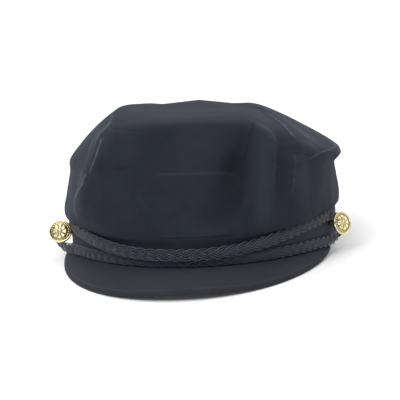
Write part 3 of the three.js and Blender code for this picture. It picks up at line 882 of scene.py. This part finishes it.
# %% Braids
LEFT_BUTTON = {"angle": -66, "height": 12.5, "turn": 72, "lift": 16, "braid_out": 10.5,
               "braid_droop": 3.2, "braid_tuck": 13, "upper_end": 0.93, "lower_end": 1.15}
RIGHT_BUTTON = {"angle": 74, "height": 12.8, "turn": -28, "lift": 16, "braid_out": 3,
                "braid_droop": 4, "braid_tuck": 8, "upper_end": 1.0, "lower_end": 1.08}
BRAID_WIDTH = 7.4
BRAID_THICKNESS = 3.2
LOWER_SCALE = 0.9
UPPER_SAG = 10.4
UPPER_CLIMB = 68
UPPER_CLIMB_POWER = 2.6
LOWER_LEAVE = 0.72
LOWER_END = 1.08
LOOP = 6.2
SCALLOP = 1.07
PLAIT_SWING = 2.0
PLAIT_LIFT = 0.5
CORD_RADIUS = 0.43
CORD_SPACING = 1.28
BOUND_SHARE = 0.5
WHIPPING_TURNS = 5
WHIPPING_RADIUS = 0.27
WHIPPING_START, WHIPPING_END = 0.4, 2.9


def own(share, key):
    return np.where(share < 0, LEFT_BUTTON[key], RIGHT_BUTTON[key])


def upper_line(share):
    turn = np.abs(share)
    angle = turn * own(share, "angle")
    climb = np.sin(np.minimum(1, np.abs(angle) / UPPER_CLIMB) * math.pi / 2)
    drop = UPPER_SAG * (1 - climb ** UPPER_CLIMB_POWER)
    top = HEM_HEIGHT - GAP - BRAID_WIDTH / 2 * SCALLOP
    in_front = (LOWER_SCALE * BRAID_THICKNESS + GAP) * (1 - climb ** 2)
    return oval(angle, BAND_WALL + GAP + BRAID_THICKNESS / 2 + in_front, top - drop)


def lower_line(share):
    turn = np.abs(share)
    leave = np.maximum(0, (turn - LOWER_LEAVE) / (LOWER_END - LOWER_LEAVE)) ** 2
    foot = 2 * GAP + LOWER_SCALE * BRAID_WIDTH * SCALLOP / 2
    out = BAND_WALL + GAP + LOWER_SCALE * BRAID_THICKNESS / 2 + own(share, "braid_out") * np.minimum(leave, 1)
    tuck = own(share, "braid_tuck") * smoothstep(turn, 0.92, 1.2)
    height = foot - own(share, "braid_droop") * np.minimum(leave, 1) + tuck
    return oval(turn * own(share, "angle"), out, height)


def braid_piece(name, line, end, scale):
    share = np.linspace(-LEFT_BUTTON[end], RIGHT_BUTTON[end], 240)
    level = line(share)
    points = place(level)
    out = place(level + outward(share * own(share, "angle") * np.sign(share))) - points
    ahead = np.gradient(points, axis=0)
    ahead /= np.linalg.norm(ahead, axis=1, keepdims=True)
    out -= ahead * (out * ahead).sum(1)[:, None]
    out /= np.linalg.norm(out, axis=1, keepdims=True)
    across = np.cross(out, ahead)
    piece = line_piece(name, points)
    mesh = piece.data
    for key, values in (("braid_across", across), ("braid_out", out)):
        layer = mesh.attributes.new(key, "FLOAT_VECTOR", "POINT")
        layer.data.foreach_set("vector", values.astype(np.float32).ravel())
    travelled = np.concatenate([[0], np.cumsum(np.linalg.norm(np.diff(points, axis=0), axis=1))]) / MM
    from_end = np.minimum(travelled, travelled[-1] - travelled)
    grip = BOUND_SHARE + (1 - BOUND_SHARE) * smoothstep(from_end, 1.5, 8)
    mesh.attributes.new("braid_grip", "FLOAT", "POINT").data.foreach_set("value", grip.astype(np.float32))
    print(name, "length in mm", round(travelled[-1], 1))
    apply_nodes(piece, PLAIT, PLAIT_KEYS, {
        "Plait length": 3 * LOOP * MM, "Swing": PLAIT_SWING * scale * MM,
        "Lift": PLAIT_LIFT * scale * MM, "Cord radius": CORD_RADIUS * scale * MM,
        "Cord spacing": CORD_SPACING * scale * MM, "Material": CORD})
    half_width = (BRAID_WIDTH / 2 * BOUND_SHARE + 0.35) * scale
    half_depth = (BRAID_THICKNESS / 2 - 0.45) * scale
    for end_from, end_to in ((WHIPPING_START, WHIPPING_END),
                             (travelled[-1] - WHIPPING_END, travelled[-1] - WHIPPING_START)):
        way = np.linspace(0, 1, 14 * WHIPPING_TURNS)
        at = end_from + (end_to - end_from) * way
        winding = 2 * math.pi * WHIPPING_TURNS * way
        frames = [np.stack([np.interp(at, travelled, values[:, i]) for i in range(3)], -1)
                  for values in (points, across, out)]
        line_points = (frames[0] + frames[1] * (half_width * MM * np.cos(winding))[:, None]
                       + frames[2] * (half_depth * MM * np.sin(winding))[:, None])
        add_thread(piece, line_points, WHIPPING_RADIUS)
    return piece


braid_upper = braid_piece("upper_braid_cords", upper_line, "upper_end", 1.0)
braid_lower = braid_piece("lower_braid_cords", lower_line, "lower_end", LOWER_SCALE)

# %% [markdown]
# The buttons are pressed from thin brass and gilded: a dome inside a raised rim, with relief. The
# relief here is a plain rosette of eight petals round a boss, inside a ring of beads. The dome is a
# polar grid whose height is a formula, and the back and the bent shank are more rings of the same skin.

# %% Gilt
def gilt_material():
    material, tree, shader = new_material("gilt brass", {"Metallic": 1.0})
    nap = nap_at(tree, 700, 240)
    # Where the painted-shade mask is high, the gilt is painted dark olive as shade.
    colour = mixed(tree, attribute(tree, "painted_shade"), (0.86, 0.74, 0.42, 1), (0.085, 0.07, 0.025, 1))
    rough = add_node(tree, "ShaderNodeMapRange", {"To Min": 0.1, "To Max": 0.24, "Value": nap["Tone"]})
    feed(tree, shader.inputs["Base Color"], colour)
    feed(tree, shader.inputs["Roughness"], rough.outputs["Result"])
    return material


GILT = gilt_material()

# %% Buttons
BUTTON = {"diameter": 14.5, "edge": 1.1, "dome": 2.2, "rim": 1.2, "relief": 0.5, "petals": 8,
          "shank": 3.4, "stand_off": 7.6}
POINTS_ROUND = 120


def rotation_between(a, b):
    return np.array(Vector(a).rotation_difference(Vector(b)).to_matrix())


def button_piece(name, spot):
    radius = BUTTON["diameter"] / 2
    face = radius - BUTTON["rim"]
    seat = oval(spot["angle"], BAND_WALL, spot["height"])
    out = outward(spot["angle"])
    turn = math.radians(spot["turn"])
    look = np.array([out[0] * math.cos(turn) - out[1] * math.sin(turn),
                     out[0] * math.sin(turn) + out[1] * math.cos(turn), math.tan(math.radians(spot["lift"]))])
    look /= np.linalg.norm(look)
    spin = rotation_between((0, 0, 1), look)
    centre = seat + out * BUTTON["stand_off"]
    around_turn = np.linspace(0, 2 * math.pi, POINTS_ROUND, endpoint=False)

    def ring(r, height):
        heights = np.broadcast_to(height, POINTS_ROUND)
        return np.stack([r * np.cos(around_turn), r * np.sin(around_turn), heights], -1)

    rings, painted_shade = [], []
    dome_top = BUTTON["edge"] + BUTTON["dome"]
    rings.append(np.array([0, 0, dome_top + BUTTON["relief"]]))
    painted_shade.append([0.0])
    for share in np.linspace(0.03, 1, 46):
        r = share * face
        height = BUTTON["edge"] + BUTTON["dome"] * (1 - (r / radius) ** 2)
        boss = smoothstep(-share, -0.24, -0.16)
        petal = 0.5 + 0.5 * np.cos(BUTTON["petals"] * around_turn)
        long_petal = smoothstep(share, 0.24, 0.34) * (1 - smoothstep(share, 0.66, 0.84))
        vein = np.exp(-((np.mod(around_turn * BUTTON["petals"] / (2 * math.pi) + 0.5, 1) - 0.5) / 0.07) ** 2)
        bead = 0.5 + 0.5 * np.cos(3 * BUTTON["petals"] * around_turn)
        bead_band = math.exp(-(((share - 0.92) / 0.045) ** 2))
        relief = boss + long_petal * (petal ** 0.6 - 0.35 * vein * (share < 0.7)) + 0.55 * bead_band * bead
        relief = np.clip(relief, 0, 1.1)
        rings.append(ring(r, height + BUTTON["relief"] * 0.9 * relief))
        # The relief's hollows are painted dark, as shade.
        painted_shade.append(np.broadcast_to(0.75 * (1 - smoothstep(relief, 0.05, 0.5)), POINTS_ROUND))
    face_height = BUTTON["edge"] + BUTTON["dome"] * (1 - (face / radius) ** 2)
    # The groove inside the rim, the back and the shank are painted darker, as shade.
    for r, height, dark in (
            (face + 0.12, face_height - 0.05, 0.5), (face + 0.3, face_height + 0.3, 0.1),
            (face + 0.6, face_height + 0.5, 0), (radius - 0.2, face_height + 0.25, 0), (radius, 1.0, 0),
            (radius, 0.35, 0), (radius - 0.25, 0.06, 0), (radius - 0.6, 0, 0.3), (3.2, 0.25, 0.5)):
        rings.append(ring(r, height))
        painted_shade.append(np.full(POINTS_ROUND, float(dark)))
    rings = [ring_points @ spin.T + centre for ring_points in rings]
    foot = seat + out * GAP
    for share in (0.12, 0.3, 0.5, 0.75, 1):
        axis = look * (1 - share) + out * share
        tilt = rotation_between((0, 0, 1), axis / np.linalg.norm(axis))
        shank = ring(BUTTON["shank"] / 2, 0.0) @ tilt.T
        rings.append(shank + centre + (foot - centre) * share)
        painted_shade.append(np.full(POINTS_ROUND, 0.4))
    rings.append(foot)
    painted_shade.append([0.4])
    return skin(name, rings, GILT, {"painted_shade": np.concatenate(painted_shade)})


button_left = button_piece("left_gilt_button", LEFT_BUTTON)
button_right = button_piece("right_gilt_button", RIGHT_BUTTON)

# %% [markdown]
# The studio is a pale floor in a white room, so the dark navy cloth is read by soft light and sheen. One
# large soft light stands in front, high and to the left, like a window. A low card in front lifts the
# braids and the underside of the peak. The room itself is brightest overhead and behind the cap.

# %% Studio
def floor_piece():
    size = 6.0
    mesh = bpy.data.meshes.new("floor")
    corners = [(-size, -size, 0), (size, -size, 0), (size, size, 0), (-size, size, 0)]
    mesh.from_pydata(corners, [], [(0, 1, 2, 3)])
    pale = {"Base Color": (0.9, 0.9, 0.9, 1), "Roughness": 0.9}
    mesh.materials.append(new_material("pale floor", pale)[0])
    piece = bpy.data.objects.new("floor", mesh)
    bpy.context.scene.collection.objects.link(piece)
    return piece


floor = floor_piece()


def soft_light(name, at, aim, size, watts):
    light = bpy.data.lights.new(name, "AREA")
    light.shape = "RECTANGLE"
    light.size, light.size_y = size
    light.energy = watts
    lamp = bpy.data.objects.new(name, light)
    lamp.location = at
    lamp.rotation_euler = (Vector(aim) - Vector(at)).to_track_quat("-Z", "Y").to_euler()
    bpy.context.scene.collection.objects.link(lamp)


soft_light("window", (-0.5, -1.05, 1.2), (0, 0, 0.05), (0.7, 0.7), 13)
soft_light("low front card", (0.3, -1.3, 0.25), (0, 0, 0.03), (0.9, 0.3), 3.5)


def studio_world():
    """A white room, brightest overhead and behind the cap, dim in front of it."""
    world = bpy.data.worlds.new("studio")
    world.use_nodes = True
    tree = world.node_tree
    where = add_node(tree, "ShaderNodeTexCoord").outputs["Generated"]
    split = add_node(tree, "ShaderNodeSeparateXYZ", {"Vector": where})
    fades = []
    for axis, start, end, low, high in (("Y", -0.3, 0.5, 0.18, 1.02), ("Z", 0.35, 0.95, 0.0, 1.1)):
        fades.append(add_node(tree, "ShaderNodeMapRange", {
            "From Min": start, "From Max": end, "To Min": low, "To Max": high,
            "Value": split.outputs[axis]}, interpolation_type="SMOOTHSTEP").outputs["Result"])
    total = maths(tree, "ADD", *fades)
    tree.links.new(total, tree.nodes["Background"].inputs["Strength"])
    tree.nodes["Background"].inputs["Color"].default_value = (1, 1, 1, 1)
    return world


bpy.context.scene.world = studio_world()
bpy.context.scene.view_settings.view_transform = "Standard"

# %% [markdown]
# The camera stands where the photograph's stood: a little to the right of the front, ten degrees up,
# with a long lens and a slight tilt of the horizon. It was found by laying the CAD outline over the
# photograph's. It looks below the middle of the cap, which leaves the cap high in the frame.

# %% Camera
AZIMUTH, ELEVATION, ROLL = math.radians(9), math.radians(10.24), math.radians(2.9)
DISTANCE = 0.72
FOCAL_PIXELS = 1094
FRAME_PIXELS = 400
SENSOR = 36
AIM_PIXEL = (202, 176.4)
AIM_HEIGHT = 0.0451

aim = Vector((ORIGIN[0] * MM, ORIGIN[1] * MM, AIM_HEIGHT))
toward = Vector((math.sin(AZIMUTH) * math.cos(ELEVATION), -math.cos(AZIMUTH) * math.cos(ELEVATION),
                 math.sin(ELEVATION)))
right = Vector((math.cos(AZIMUTH), math.sin(AZIMUTH), 0))
up = toward.cross(right)
off = Vector((FRAME_PIXELS / 2 - AIM_PIXEL[0], FRAME_PIXELS / 2 - AIM_PIXEL[1])) * DISTANCE / FOCAL_PIXELS
sideways = off.x * math.cos(ROLL) - off.y * math.sin(ROLL)
downwards = off.x * math.sin(ROLL) + off.y * math.cos(ROLL)
target = aim + right * sideways - up * downwards

lens = bpy.data.cameras.new("camera")
lens.sensor_width = SENSOR
lens.lens = FOCAL_PIXELS / FRAME_PIXELS * SENSOR
camera = bpy.data.objects.new("camera", lens)
camera.location = aim + toward * DISTANCE
look = (target - camera.location).to_track_quat("-Z", "Y")
camera.rotation_euler = (look.to_matrix() @ Matrix.Rotation(-ROLL, 3, "Z")).to_euler()
bpy.context.scene.collection.objects.link(camera)
bpy.context.scene.camera = camera
print("camera at", [round(v, 3) for v in camera.location], "lens", round(lens.lens, 1))

# %% [markdown]
# Last, every piece is tied to the frame by what it rides on, and the CAD solid that it stands for is hidden.

# %% Tie the pieces to the frame
PIECES = [
    (crown, "crown", "cloth"),
    (band, "band", "cloth"),
    (peak, "peak", "cloth"),
    (braid_upper, "braid_upper", "cord"),
    (braid_lower, "braid_lower", "cord"),
    (button_left, "button_left", "gilt"),
    (button_right, "button_right", "gilt"),
]
for piece, node, slot in PIECES:
    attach(piece, "root")
    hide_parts(node)
